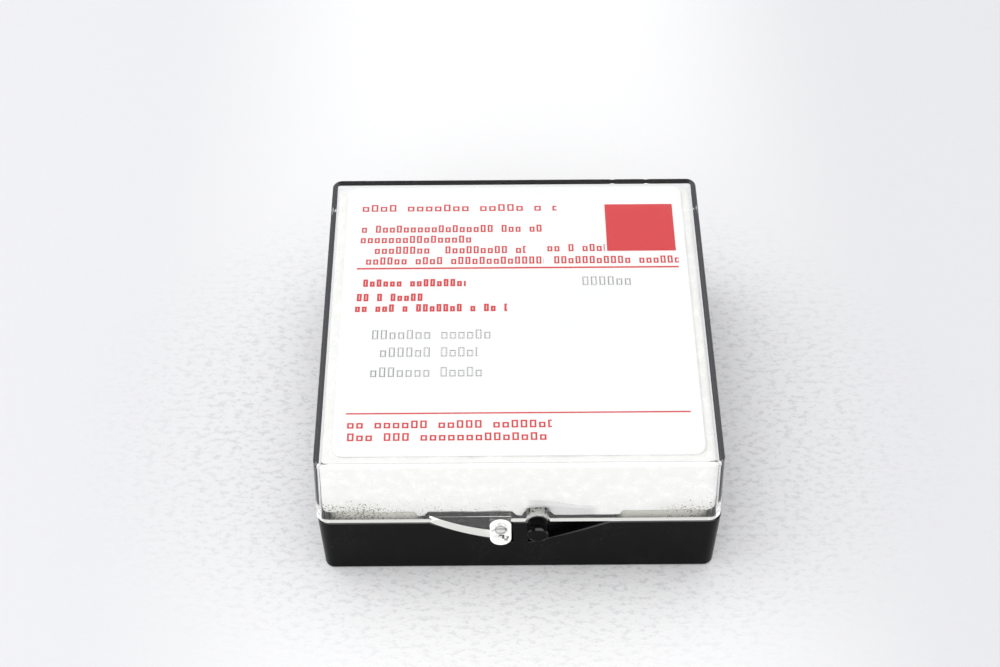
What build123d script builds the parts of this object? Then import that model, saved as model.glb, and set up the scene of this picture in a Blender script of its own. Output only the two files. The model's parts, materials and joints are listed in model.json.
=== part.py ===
from build123d import *
import math
import os

# Hinged optics box, closed, with a mounted filter bedded in foam. Millimetres.
# X runs to the right and Y to the back, seen from the latch, and Z runs up.
# The origin is the middle of the flat underside.

# Box, measured at the parting line where both halves are widest
box_width = 66.7
box_depth = 66.7
corner_radius = 2.2
base_height = 13.2
lid_height = 14.5
rim_gap = 0.3

# Base tray
base_wall = 1.0
base_floor = 1.1
base_draft = 2.2
base_edge_radius = 0.5
base_rim_radius = 0.25

# Lid
lid_wall = 0.9
lid_plate = 0.9
lid_draft = 1.9
lid_edge_radius = 0.45
lid_inner_radius = 0.5
lid_rim_land = 0.1
lid_rim_bevel = 0.28
lid_side_play = 0.12
inner_corner_radius = 0.9

# Latch on the front wall
stud_diameter = 3.5
stud_length = 2.7
stud_spacing = 6.0
stud_edge = 0.3
clear_stud_drop = 1.2
black_stud_rise = 0.0
tab_thickness = 1.4
tab_reach = 14.7
tab_drop = 5.0
tab_bulge = 0.87
tab_bevel_tip = 1.0
tab_bevel_root = 1.4
latch_clearance = 0.2
recess_drop = 6.0
recess_bulge = 0.3
recess_reach = 15.2
ledge_thickness = 0.8
arch_clearance = 0.3

# Hinge at the rear
hinge_spacing = 42.8
hinge_offset = 1.4
lug_width = 5.0
lug_radius = 1.6
lug_web = 4.4
ear_thickness = 1.3
ear_radius = 2.0
ear_web = 4.4
ear_side_gap = 0.25
pin_radius = 0.75
pin_length = 1.4
pin_clearance = 0.08
pin_chamfer = 0.25
open_angle = 115.0
stop_clearance = 0.1
weld_depth = 0.5

# Foam bedding
foam_clearance = 0.3
pocket_rise = 1.3
foam_split_gap = 0.3
pocket_clearance = 0.3
filter_headroom = 0.8
scallop_radius = 7.0
scallop_spacing = 29.0

# Card under the lid's top plate
card_side_margin = 2.0
card_front_margin = 1.6
card_back_margin = 0.8
card_thickness = 0.3
card_corner = 1.8
card_gap = 0.05

# Mounted filter
filter_diameter = 25.4
filter_height = 6.6
clear_aperture = 21.0
glass_diameter = 23.0
glass_thickness = 3.6
cell_lip = 1.0
cell_clearance = 0.1
cell_chamfer = 0.4
ring_height = 1.4
ring_slot_width = 1.4
ring_slot_depth = 0.6

# Levels and places that follow from the sizes above
front_y = -box_depth / 2
back_y = box_depth / 2
lid_rim_z = base_height + rim_gap
top_z = lid_rim_z + lid_height
hinge_z = base_height + rim_gap / 2
hinge_y = back_y + hinge_offset
stud_x = stud_spacing / 2
stud_inner_x = stud_x - stud_diameter / 2
recess_depth = tab_thickness + latch_clearance
latch_back = recess_depth + base_wall
pocket_top = base_height + pocket_rise
pad_top = pocket_top - filter_headroom - filter_height
card_top = top_z - lid_plate - card_gap


def drafted_block(width, depth, radius, rim_z, rise, draft):
    """Rounded block, widest at the rim, that narrows with the draft away from it."""
    outline = Plane.XY.offset(rim_z) * RectangleRounded(width, depth, radius)
    return extrude(outline, amount=rise, taper=draft)


def front_plane(level, depth=0.0):
    """Plane that faces the front, on the front wall or behind it, with its X axis at the level."""
    return Plane(origin=(0, front_y + depth, level), x_dir=(1, 0, 0), z_dir=(0, -1, 0))


def wedge_outline(root_x, reach, drop, bulge, above, lift_root=0.0, lift_tip=0.0):
    """Latch wedge: straight beside the post, a bulging arc below, tapering out at its tip."""
    side = math.copysign(1.0, reach)
    root_low = (root_x, lift_root - drop)
    tip_low = (reach, lift_tip)
    lower = SagittaArc(root_low, tip_low, -side * bulge)
    tip = Line(tip_low, (reach, above))
    top = Line((reach, above), (root_x, above))
    root = Line((root_x, above), root_low)
    return make_face([lower, tip, top, root])


def recess_outline(root_x, reach, grow=0.0):
    """Outline of a recess beside the post, or of the wall round it when it is grown."""
    side = math.copysign(1.0, reach)
    root = root_x - side * grow
    return wedge_outline(root, reach + side * grow, recess_drop + grow, recess_bulge, above=rim_gap)


def latch_backing():
    """The stretch of front wall that jogs inwards behind both recesses, with their ledges."""
    left = recess_outline(-stud_inner_x, -recess_reach, ledge_thickness)
    right = recess_outline(stud_inner_x, recess_reach, ledge_thickness)
    middle = Rectangle(2 * stud_inner_x, recess_drop + ledge_thickness, align=(Align.CENTER, Align.MAX))
    outline = left + right + middle
    wide = 2 * (recess_reach + 2 * ledge_thickness)
    above_rim = Rectangle(wide, box_width, align=(Align.CENTER, Align.MIN))
    outline = outline - above_rim
    start = front_plane(base_height, latch_back)
    return extrude(start * outline, amount=latch_back - base_wall / 2)


def stud(x, level, depth):
    """Round stud with a rounded free end, standing out of the front from the given depth."""
    outline = front_plane(level, depth) * Pos(x, 0) * Circle(stud_diameter / 2)
    body = extrude(outline, amount=depth + stud_length)
    return fillet(body.faces().sort_by(Axis.Y)[0].edges(), stud_edge)


def at_hinges(solid, side_shift=0.0):
    """Copies of a solid at both hinge places."""
    return [Pos(side * hinge_spacing / 2 + side_shift, hinge_y, hinge_z) * solid for side in (-1, 1)]


def side_extrusion(outline, centre_x, thickness):
    """Solid of a side-view outline, given in Y and Z about the hinge axis, centred on X."""
    return extrude(Plane.YZ.offset(centre_x - thickness / 2) * outline, amount=thickness)


def hinge_lug():
    """Lug of the base: a round knuckle on a web, with the pin hole through it."""
    wall_line = Line((-hinge_offset - weld_depth, -rim_gap / 2), (-hinge_offset - weld_depth, -lug_web))
    outline = make_hull([CenterArc((0, 0), lug_radius, 0, 360), wall_line])
    outline = outline - Circle(pin_radius + pin_clearance)
    return side_extrusion(outline, 0, lug_width)


def ear_outline():
    """Side view of an ear: a round end on a web, turned down where it passes the tray's wall.

    Its flat heel meets that wall when the lid is fully open.
    """
    wall_line = Line((-hinge_offset - weld_depth, rim_gap / 2), (-hinge_offset - weld_depth, ear_web))
    outline = make_hull([CenterArc((0, 0), ear_radius, 0, 360), wall_line])
    passing_radius = hinge_offset - stop_clearance
    heel_turn = Rot(0, 0, open_angle - 180)
    reach = 2 * (ear_radius + ear_web)
    half_plane = Rectangle(2 * reach, reach, align=(Align.CENTER, Align.MAX))
    passing = (Pos(0, rim_gap / 2) * half_plane) & (heel_turn * half_plane)
    outline -= passing - Circle(passing_radius)
    beyond_heel = Rectangle(reach, reach, align=(Align.MIN, Align.CENTER))
    return outline - heel_turn * Pos(passing_radius, 0) * beyond_heel


def hinge_ears():
    """Pair of ears of the lid, each with a pin that points into the lug."""
    ears = []
    for side in (-1, 1):
        inner = side * (lug_width / 2 + ear_side_gap)
        ears.append(side_extrusion(ear_outline(), inner + side * ear_thickness / 2, ear_thickness))
        bore = Plane(origin=(inner + side * ear_thickness / 2, 0, 0), z_dir=(-side, 0, 0))
        pin = extrude(bore * Circle(pin_radius), amount=pin_length + ear_thickness / 2)
        tip = pin.faces().sort_by(Axis.X)[0 if side > 0 else -1]
        ears.append(chamfer(tip.edges(), pin_chamfer))
    return ears


def base_tray():
    """Black tray: drafted shell, recessed latch wall with its post and stud, and hinge lugs."""
    outer = drafted_block(box_width, box_depth, corner_radius, base_height, -base_height, base_draft)
    outer = fillet(outer.edges().group_by(Axis.Z)[0], base_edge_radius)
    outer = fillet(outer.edges().group_by(Axis.Z)[-1], base_rim_radius)
    inner = drafted_block(
        box_width - 2 * base_wall,
        box_depth - 2 * base_wall,
        inner_corner_radius,
        base_height,
        base_floor - base_height,
        base_draft,
    )
    tray = outer - inner + latch_backing()
    reach = recess_depth + stud_length
    start = front_plane(base_height, recess_depth)
    tray -= extrude(start * recess_outline(-stud_inner_x + latch_clearance, -recess_reach), amount=reach)
    tray -= extrude(start * recess_outline(stud_inner_x + latch_clearance, recess_reach), amount=reach)
    tray += stud(stud_x, base_height + black_stud_rise, latch_back)
    for lug in at_hinges(hinge_lug()):
        tray += lug
    return tray


def clear_tab():
    """Tongue that hangs from the lid's front rim, bevelled towards its lower edge."""
    root_x = -stud_inner_x
    front = wedge_outline(root_x, -tab_reach, tab_drop, tab_bulge, above=tab_bevel_root)
    back = wedge_outline(
        root_x, -tab_reach, tab_drop, tab_bulge, tab_bevel_root, tab_bevel_root, tab_bevel_tip
    )
    faces = [front_plane(lid_rim_z) * front, front_plane(lid_rim_z, tab_thickness) * back]
    return loft(faces, ruled=True)


def stud_arch():
    """Arched notch in the lid's front rim that clears the black stud."""
    radius = stud_diameter / 2 + arch_clearance
    level = base_height + black_stud_rise
    arch = Circle(radius) + Rectangle(2 * radius, 2 * radius, align=(Align.CENTER, Align.MAX))
    start = front_plane(level, tab_thickness)
    return extrude(start * Pos(stud_x, 0) * arch, amount=2 * tab_thickness)


def lug_notch():
    """Notch in the lid's rear rim that clears a hinge lug."""
    width = lug_width + 2 * ear_side_gap
    height = lug_radius + arch_clearance
    return Pos(0, -hinge_offset - lid_wall / 2, 0) * Box(width, 3 * lid_wall, 2 * height)


def lid():
    """Clear lid: drafted shell with a bevelled rim, the latch's tongue and stud, and hinge ears."""
    outer = drafted_block(box_width, box_depth, corner_radius, lid_rim_z, lid_height, lid_draft)
    outer = fillet(outer.edges().group_by(Axis.Z)[-1], lid_edge_radius)
    inner_width = box_width - 2 * lid_wall
    inner_depth = box_depth - 2 * lid_wall
    inner = drafted_block(
        inner_width, inner_depth, inner_corner_radius, lid_rim_z, lid_height - lid_plate, lid_draft
    )
    inner = fillet(inner.edges().group_by(Axis.Z)[-1], lid_inner_radius)
    bevel_run = lid_wall - lid_rim_land
    bevel = drafted_block(
        inner_width + 2 * bevel_run,
        inner_depth + 2 * bevel_run,
        inner_corner_radius + bevel_run,
        lid_rim_z,
        lid_rim_bevel,
        math.degrees(math.atan2(bevel_run, lid_rim_bevel)),
    )
    shell = outer - inner - bevel
    shell += clear_tab()
    shell += stud(-stud_x, lid_rim_z - clear_stud_drop, tab_thickness / 2)
    shell = Pos(-lid_side_play, 0, 0) * shell
    shell -= stud_arch()
    for notch in at_hinges(lug_notch()):
        shell -= notch
    for ear in hinge_ears():
        for placed in at_hinges(ear, -lid_side_play):
            shell += placed
    return shell


def latch_relief():
    """Space that the foam leaves round the inward jog of the latch wall and its stud."""
    depth = latch_back + foam_clearance
    height = recess_drop + ledge_thickness + foam_clearance
    width = 2 * (recess_reach + ledge_thickness + foam_clearance)
    outline = Rectangle(width, height, align=(Align.CENTER, Align.MAX))
    outline += Pos(stud_x, black_stud_rise) * Circle(stud_diameter / 2 + foam_clearance)
    return extrude(front_plane(base_height, depth) * outline, amount=depth)


def foam_block(half_limit, low, high):
    """Plain cut block of foam that clears the walls at its narrowest level."""
    side_x = 2 * (box_width / 2 - half_limit - foam_clearance)
    side_y = 2 * (box_depth / 2 - half_limit - foam_clearance)
    return Pos(0, 0, low) * Box(side_x, side_y, high - low, align=(Align.CENTER, Align.CENTER, Align.MIN))


def base_inset():
    """How far the tray's inner wall lies inside the parting outline at the floor."""
    return base_wall + (base_height - base_floor) * math.tan(math.radians(base_draft))


def lid_inset():
    """How far the lid's inner wall lies inside the parting outline under the top plate."""
    return lid_wall + (lid_height - lid_plate) * math.tan(math.radians(lid_draft))


def bottom_pad():
    """Plain foam sheet on the tray's floor."""
    return foam_block(base_inset(), base_floor, pad_top) - latch_relief()


def pocket_outline():
    """Round pocket for the filter with a finger scallop at each side."""
    outline = Circle(filter_diameter / 2 + pocket_clearance)
    for side in (-1, 1):
        outline += Pos(side * scallop_spacing / 2, 0) * Circle(scallop_radius)
    return outline


def pocket_layer():
    """Die-cut foam layer that holds the filter; it stands a little above the tray's rim."""
    block = foam_block(base_inset(), pad_top, pocket_top)
    cut = extrude(Plane.XY.offset(pad_top) * pocket_outline(), amount=pocket_top - pad_top)
    return block - cut - latch_relief()


def lid_pad():
    """Foam block in the lid, which presses the card against the top plate."""
    low = pocket_top + foam_split_gap
    high = card_top - card_thickness - card_gap
    return Pos(-lid_side_play, 0, 0) * foam_block(lid_inset(), low, high) - latch_relief()


def label_card():
    """Card with rounded corners that lies right under the lid's top plate."""
    width = box_width - 2 * (lid_inset() + card_side_margin)
    depth = box_depth - 2 * lid_inset() - card_front_margin - card_back_margin
    offset_y = (card_front_margin - card_back_margin) / 2
    place = Pos(-lid_side_play, offset_y, card_top - card_thickness)
    return extrude(place * RectangleRounded(width, depth, card_corner), amount=card_thickness)


def ring_section(inner, outer, low, high):
    """Closed ring of rectangular section about the filter's axis, on the pad."""
    outline = Circle(outer) - Circle(inner)
    return extrude(Plane.XY.offset(pad_top + low) * outline, amount=high - low)


def filter_cell():
    """Turned cell that holds the filter glass against a lip at its lower end."""
    bore = glass_diameter / 2 + cell_clearance
    cell = ring_section(clear_aperture / 2, filter_diameter / 2, 0, filter_height)
    cell -= Pos(0, 0, pad_top + cell_lip) * Cylinder(
        bore, filter_height, align=(Align.CENTER, Align.CENTER, Align.MIN)
    )
    rims = cell.edges().filter_by(GeomType.CIRCLE)
    outer_rims = [edge for edge in rims if edge.radius > bore + cell_clearance]
    return chamfer(outer_rims, cell_chamfer)


def filter_glass():
    """Coated glass disc that rests on the cell's lip."""
    low = pad_top + cell_lip
    align = (Align.CENTER, Align.CENTER, Align.MIN)
    return Pos(0, 0, low) * Cylinder(glass_diameter / 2, glass_thickness, align=align)


def retaining_ring():
    """Ring that holds the glass down, with two slots for a spanner."""
    low = cell_lip + glass_thickness
    ring = ring_section(clear_aperture / 2, glass_diameter / 2, low, low + ring_height)
    slot = Box(filter_diameter, ring_slot_width, 2 * ring_slot_depth)
    return ring - Pos(0, 0, pad_top + low + ring_height) * slot


nodes = {
    "base_tray": base_tray,
    "lid": lid,
    "label_card": label_card,
    "lid_pad": lid_pad,
    "pocket_layer": pocket_layer,
    "bottom_pad": bottom_pad,
    "filter_cell": filter_cell,
    "filter_glass": filter_glass,
    "retaining_ring": retaining_ring,
}

os.makedirs("parts", exist_ok=True)
for name, build in nodes.items():
    export_step(build(), f"parts/{name}.step")
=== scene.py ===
import json
import logging
import math
from dataclasses import dataclass, field
from enum import Enum

import bpy
import numpy as np
from mathutils import Matrix, Vector


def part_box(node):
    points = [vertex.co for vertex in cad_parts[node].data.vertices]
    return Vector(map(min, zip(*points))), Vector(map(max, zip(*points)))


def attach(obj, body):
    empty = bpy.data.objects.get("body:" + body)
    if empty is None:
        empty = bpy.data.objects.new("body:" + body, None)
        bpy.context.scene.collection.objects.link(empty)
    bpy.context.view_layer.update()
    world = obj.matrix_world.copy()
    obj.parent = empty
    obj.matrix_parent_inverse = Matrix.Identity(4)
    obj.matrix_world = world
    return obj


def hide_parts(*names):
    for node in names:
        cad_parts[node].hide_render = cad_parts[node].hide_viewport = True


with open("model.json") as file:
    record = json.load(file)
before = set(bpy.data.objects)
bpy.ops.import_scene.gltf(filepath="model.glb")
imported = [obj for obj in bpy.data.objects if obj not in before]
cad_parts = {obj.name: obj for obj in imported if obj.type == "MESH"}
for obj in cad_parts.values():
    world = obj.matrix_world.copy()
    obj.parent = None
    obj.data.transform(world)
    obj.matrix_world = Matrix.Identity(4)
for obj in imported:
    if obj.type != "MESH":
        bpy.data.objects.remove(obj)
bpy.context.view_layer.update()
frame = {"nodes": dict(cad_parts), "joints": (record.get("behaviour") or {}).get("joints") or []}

LOG = logging.getLogger("optics_box")
MM = 0.001
Colour = tuple[float, float, float, float]
Pair = tuple[float, float]
Socket = bpy.types.NodeSocket


class Ink(Enum):
    """Colours that the card is printed in, as linear light."""

    RED = (0.70, 0.002, 0.010, 1.0)
    GREY = (0.25, 0.25, 0.27, 1.0)


@dataclass(frozen=True)
class Plan:
    """Places that the pieces and the finishes of the box share, worked out from the frame."""

    half: float
    shift: float
    lid_rim: float
    tray_rim: float
    lid_top: float
    clear_tip: float
    black_tip: float
    stud_x: float = 3.0 * MM
    stud_radius: float = 1.75 * MM
    stud_share: Pair = (1.06, 1.02)
    stud_drop: float = 1.2 * MM
    latch_reach: float = 16.0 * MM
    latch_back: float = 2.9 * MM

    @classmethod
    def read(cls, rim_gap: float = 0.3 * MM) -> "Plan":
        """Reads the plan from the lid's box and the hinge, which lies midway in the rim's gap.

        Args:
            rim_gap: Gap between the rims of the tray and the lid.

        Returns:
            The plan.
        """
        low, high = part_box("lid")
        hinge = frame["joints"][0]["pos_m"][2]
        return cls(
            half=(high.x - low.x) / 2,
            shift=(high.x + low.x) / 2,
            lid_rim=hinge + rim_gap / 2,
            tray_rim=hinge - rim_gap / 2,
            lid_top=high.z,
            clear_tip=low.y,
            black_tip=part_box("base_tray")[0].y,
        )

    @property
    def clear_stud(self) -> Pair:
        """Place across the box and level of the clear stud's axis."""
        return self.shift - self.stud_x, self.lid_rim - self.stud_drop

    @property
    def black_stud(self) -> Pair:
        """Place across the box and level of the black stud's axis."""
        return self.stud_x, self.tray_rim


class Graph:
    """Adds and joins the nodes of one shader tree."""

    def __init__(self, tree: bpy.types.NodeTree) -> None:
        """Keeps the tree.

        Args:
            tree: Node tree of a material, a world or a group.
        """
        self.tree = tree

    def add(self, kind: str, inputs: dict | None = None, **settings: object) -> bpy.types.Node:
        """Adds a node, sets its properties and sets or joins its inputs.

        Args:
            kind: Node type, such as ShaderNodeMath.
            inputs: Values or output sockets, by input name or index.
            settings: Properties of the node.

        Returns:
            The new node.
        """
        node = self.tree.nodes.new(kind)
        for name, value in settings.items():
            setattr(node, name, value)
        for key, value in (inputs or {}).items():
            self.feed(node.inputs[key], value)
        return node

    def feed(self, socket: Socket, value: object) -> None:
        """Joins an output socket to an input, or sets the input's own value.

        Args:
            socket: Input socket.
            value: Output socket or plain value.
        """
        if isinstance(value, bpy.types.NodeSocket):
            self.tree.links.new(value, socket)
        else:
            socket.default_value = value

    def calc(self, operation: str, first: object, second: object = 0.0) -> Socket:
        """Joins a maths node.

        Args:
            operation: Blender's name of the operation.
            first: First value or socket.
            second: Second value or socket.

        Returns:
            The result's socket.
        """
        return self.add("ShaderNodeMath", {0: first, 1: second}, operation=operation).outputs[0]

    def ramp(self, value: object, low: float, high: float,
             bottom: float = 0.0, top: float = 1.0) -> Socket:
        """Smooth step of a value from one bound to the other.

        Args:
            value: Value or socket.
            low: Value at which the step starts.
            high: Value at which the step ends.
            bottom: Result at the start.
            top: Result at the end.

        Returns:
            The result's socket.
        """
        inputs = {"Value": value, "From Min": low, "From Max": high, "To Min": bottom, "To Max": top}
        node = self.add("ShaderNodeMapRange", inputs, interpolation_type="SMOOTHSTEP")
        return node.outputs["Result"]

    def mix(self, factor: object, first: object, second: object) -> Socket:
        """Mixes two colours.

        Args:
            factor: Share of the second colour.
            first: First colour or socket.
            second: Second colour or socket.

        Returns:
            The mixed colour's socket.
        """
        node = self.add("ShaderNodeMix", {0: factor, 6: first, 7: second}, data_type="RGBA")
        return node.outputs[2]

    def noise(self, vector: Socket, scale: float, detail: float = 3.0) -> Socket:
        """Joins a noise texture.

        Args:
            vector: Place at which it is read.
            scale: Waves per metre.
            detail: Number of finer layers.

        Returns:
            Socket of the noise, from 0 to 1.
        """
        inputs = {"Vector": vector, "Scale": scale, "Detail": detail}
        return self.add("ShaderNodeTexNoise", inputs).outputs["Fac"]

    def patches(self, vector: Socket, scale: float, limits: Pair, detail: float = 1.0) -> Socket:
        """Irregular patches: a noise texture stepped between two limits.

        Args:
            vector: Place at which it is read.
            scale: Waves per metre.
            limits: Noise at which the patches begin, and at which they are full.
            detail: Number of finer layers.

        Returns:
            Socket of the mask.
        """
        return self.ramp(self.noise(vector, scale, detail), *limits)

    def axes(self, vector: Socket) -> list[Socket]:
        """Splits a vector into its X, Y and Z sockets."""
        return list(self.add("ShaderNodeSeparateXYZ", {0: vector}).outputs)

    def place(self) -> Socket:
        """Object coordinates, in metres."""
        return self.add("ShaderNodeTexCoord").outputs["Object"]

    def within(self, value: Socket, low: float, high: float, soft: float) -> Socket:
        """Smooth window: one between two bounds, and nothing outside.

        Args:
            value: Value to test.
            low: Lower bound.
            high: Upper bound.
            soft: Width of the smooth step inside each bound.

        Returns:
            Socket of the mask.
        """
        return self.both(self.ramp(value, low, low + soft), self.ramp(value, high, high - soft))

    def rise_of_face(self) -> Socket:
        """Upward part of the face's own normal."""
        return self.axes(self.add("ShaderNodeNewGeometry").outputs["True Normal"])[2]

    def both(self, *masks: object) -> Socket:
        """Product of masks or plain shares.

        Args:
            masks: Sockets or plain values.

        Returns:
            Socket of the product.
        """
        result = masks[0]
        for mask in masks[1:]:
            result = self.calc("MULTIPLY", result, mask)
        return result

    def less(self, mask: object) -> Socket:
        """One less a mask."""
        return self.calc("SUBTRACT", 1.0, mask)

    def reach(self, first: Socket, second: Socket, centre: Pair,
              radii: Pair) -> Socket:
        """Distance from a centre in a plane, as a share of an ellipse's radii.

        Args:
            first: First coordinate.
            second: Second coordinate.
            centre: The ellipse's centre.
            radii: Its radii.

        Returns:
            Socket of the share, one on the ellipse.
        """
        parts = [self.calc("DIVIDE", self.calc("SUBTRACT", axis, middle), radius)
                 for axis, middle, radius in zip((first, second), centre, radii)]
        squares = [self.calc("MULTIPLY", part, part) for part in parts]
        return self.calc("SQRT", self.calc("ADD", *squares))


class EffectGroup:
    """Shader node group with named inputs and outputs, built once and placed in many materials."""

    def __init__(self, name: str, inputs: dict[str, float | None], outputs: dict[str, str]) -> None:
        """Makes the group and its sockets.

        Args:
            name: Name of the group.
            inputs: Default values by input name; None makes a vector input.
            outputs: Socket kinds by output name.
        """
        self.tree = bpy.data.node_groups.new(name, "ShaderNodeTree")
        for key, value in inputs.items():
            kind = "NodeSocketVector" if value is None else "NodeSocketFloat"
            socket = self.tree.interface.new_socket(key, in_out="INPUT", socket_type=kind)
            if value is not None:
                socket.default_value = value
        for key, kind in outputs.items():
            self.tree.interface.new_socket(key, in_out="OUTPUT", socket_type=kind)
        self.graph = Graph(self.tree)
        self.given = self.graph.add("NodeGroupInput").outputs
        self.result = self.graph.add("NodeGroupOutput").inputs

    def put(self, name: str, value: Socket) -> None:
        """Joins a value to one of the group's outputs."""
        self.graph.feed(self.result[name], value)

    def use(self, graph: Graph, **inputs: object) -> bpy.types.bpy_prop_collection:
        """Places the group in a material.

        Args:
            graph: Graph of the material.
            inputs: Values or sockets, by input name.

        Returns:
            The outputs of the placed group.
        """
        node = graph.add("ShaderNodeGroup", node_tree=self.tree)
        for key, value in inputs.items():
            graph.feed(node.inputs[key], value)
        return node.outputs


def dust_effect() -> EffectGroup:
    """Round specks: a cell of a Voronoi pattern holds one if its random number passes a share.

    Returns:
        The group, with the output Mask.
    """
    group = EffectGroup("dust", {"Vector": None, "Scale": 500.0, "Share": 0.05, "Radius": 0.2},
                        {"Mask": "NodeSocketFloat"})
    graph = group.graph
    cells = graph.add("ShaderNodeTexVoronoi", {"Vector": group.given["Vector"],
                                               "Scale": group.given["Scale"]})
    random = graph.add("ShaderNodeSeparateColor", {0: cells.outputs["Color"]}).outputs[0]
    drawn = graph.calc("LESS_THAN", random, group.given["Share"])
    near = graph.calc("LESS_THAN", cells.outputs["Distance"], group.given["Radius"])
    group.put("Mask", graph.both(drawn, near))
    return group


def skin_effect() -> EffectGroup:
    """Fine relief of a surface: broad unevenness plus fine grain, as a height from 0 to 1.

    Returns:
        The group, with the outputs Height and Blotch.
    """
    group = EffectGroup("skin", {"Vector": None, "Broad": 150.0, "Fine": 3000.0, "Grain": 0.5},
                        {"Height": "NodeSocketFloat", "Blotch": "NodeSocketFloat"})
    graph = group.graph
    broad = graph.noise(group.given["Vector"], group.given["Broad"], 2.0)
    fine = graph.noise(group.given["Vector"], group.given["Fine"], 2.0)
    group.put("Height", graph.calc("ADD", broad, graph.calc("MULTIPLY", fine, group.given["Grain"])))
    group.put("Blotch", broad)
    return group


def row_effect() -> EffectGroup:
    """Printed row of plain boxes in outline, one to a cell of the pitch.

    A cell's random number leaves it blank, and another gives its box one of two heights. The Dots
    input breaks the outlines up into round dots.

    Returns:
        The group, with the output Mask.
    """
    group = EffectGroup(
        "printed_row",
        {"Vector": None, "Left": 0.0, "Right": 0.01, "Base": 0.0, "Height": 0.002, "Pitch": 0.0012,
         "Blank": 0.13, "Seed": 0.0, "Stroke": 0.00025, "Dots": 0.0},
        {"Mask": "NodeSocketFloat"})
    graph, given = group.graph, group.given
    across, along, _ = graph.axes(given["Vector"])
    start = graph.calc("SUBTRACT", across, given["Left"])
    cell = graph.calc("DIVIDE", start, given["Pitch"])
    number = graph.calc("ADD", graph.calc("FLOOR", cell), given["Seed"])
    random = graph.add("ShaderNodeTexWhiteNoise", {"W": number}, noise_dimensions="1D").outputs
    drawn = graph.calc("GREATER_THAN", random["Value"], given["Blank"])
    channels = graph.add("ShaderNodeSeparateColor", {0: random["Color"]}).outputs
    short_share, box_middle, box_half = 0.6, 0.44, 0.36
    short_half, tall_half = 0.36, 0.5
    dot_pitch = 0.37 * MM
    tall = graph.calc("GREATER_THAN", channels[1], short_share)
    ends = graph.both(graph.calc("GREATER_THAN", start, 0.0),
                      graph.calc("LESS_THAN", across, given["Right"]))
    from_middle = graph.calc("SUBTRACT", graph.calc("FRACT", cell), box_middle)
    aside = graph.calc("ABSOLUTE", graph.both(from_middle, given["Pitch"]))
    side = graph.calc("SUBTRACT", graph.both(given["Pitch"], box_half), aside)
    share = graph.calc("ADD", graph.both(tall, tall_half - short_half), short_half)
    half_height = graph.both(given["Height"], share)
    level = graph.calc("SUBTRACT", graph.calc("SUBTRACT", along, given["Base"]), half_height)
    end = graph.calc("SUBTRACT", half_height, graph.calc("ABSOLUTE", level))
    depth = graph.calc("MINIMUM", side, end)
    outline = graph.both(graph.calc("GREATER_THAN", depth, 0.0),
                         graph.calc("LESS_THAN", depth, given["Stroke"]))
    waves = [graph.calc("COSINE", graph.calc("MULTIPLY", axis, 2 * math.pi / dot_pitch))
             for axis in (across, along)]
    dots = graph.calc("GREATER_THAN", graph.calc("ADD", *waves), -0.5)
    unbroken = graph.calc("MAXIMUM", graph.less(given["Dots"]), dots)
    group.put("Mask", graph.both(drawn, ends, outline, unbroken))
    return group


def field_effect() -> EffectGroup:
    """Printed rectangle: one inside four bounds and nothing outside.

    Returns:
        The group, with the output Mask.
    """
    group = EffectGroup(
        "printed_field",
        {"Vector": None, "Left": 0.0, "Right": 0.01, "Low": 0.0, "High": 0.01},
        {"Mask": "NodeSocketFloat"})
    graph, given = group.graph, group.given
    across, along, _ = graph.axes(given["Vector"])
    group.put("Mask", graph.both(
        graph.calc("GREATER_THAN", across, given["Left"]),
        graph.calc("LESS_THAN", across, given["Right"]),
        graph.calc("GREATER_THAN", along, given["Low"]),
        graph.calc("LESS_THAN", along, given["High"])))
    return group


@dataclass(frozen=True)
class Effects:
    """The shared node groups."""

    dust: EffectGroup = field(default_factory=dust_effect)
    skin: EffectGroup = field(default_factory=skin_effect)
    row: EffectGroup = field(default_factory=row_effect)
    printed: EffectGroup = field(default_factory=field_effect)


def new_material(name: str,
                 inputs: dict[str, object]) -> tuple[bpy.types.Material, Graph, bpy.types.Node]:
    """Makes a material with a Principled shader.

    Args:
        name: Name of the material.
        inputs: Plain values of the shader's inputs, by name.

    Returns:
        The material, its graph and its shader node.
    """
    material = bpy.data.materials.new(name)
    material.use_nodes = True
    material.node_tree.nodes.clear()
    graph = Graph(material.node_tree)
    shader = graph.add("ShaderNodeBsdfPrincipled", inputs)
    graph.add("ShaderNodeOutputMaterial", {"Surface": shader.outputs["BSDF"]})
    return material, graph, shader


def relief(graph: Graph, shader: bpy.types.Node, height: Socket, depth: float) -> None:
    """Turns a height into the shader's normal.

    Args:
        graph: Graph of the material.
        shader: Principled shader node.
        height: Socket of a height from 0 to 1.
        depth: Depth of the relief in metres.
    """
    bump = graph.add("ShaderNodeBump", {"Height": height, "Distance": depth, "Strength": 1.0})
    graph.feed(shader.inputs["Normal"], bump.outputs["Normal"])


def stud_reach(graph: Graph, plan: Plan, axis: Pair) -> Socket:
    """Distance from the axis of a latch stud, as a share of the stud's radius.

    Args:
        graph: Graph of the material.
        plan: Shared places of the box.
        axis: Place across the box and level of the stud's axis.

    Returns:
        Socket of the share.
    """
    across, _, height = graph.axes(graph.place())
    return graph.reach(across, height, axis, (plan.stud_radius, plan.stud_radius))


def let_light_through(graph: Graph, shader: bpy.types.Node) -> None:
    """Lets the light of lamps, and light scattered by a matt surface, pass a clear wall unbent.

    Args:
        graph: Graph of the material.
        shader: Principled shader node of the clear wall.
    """
    path = graph.add("ShaderNodeLightPath").outputs
    passing = graph.calc("MAXIMUM", path["Is Shadow Ray"], path["Is Diffuse Ray"])
    open_air = graph.add("ShaderNodeBsdfTransparent")
    wall = graph.add("ShaderNodeMixShader", {0: passing, 1: shader.outputs[0], 2: open_air.outputs[0]})
    output = next(node for node in graph.tree.nodes if node.type == "OUTPUT_MATERIAL")
    graph.feed(output.inputs["Surface"], wall.outputs[0])


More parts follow.
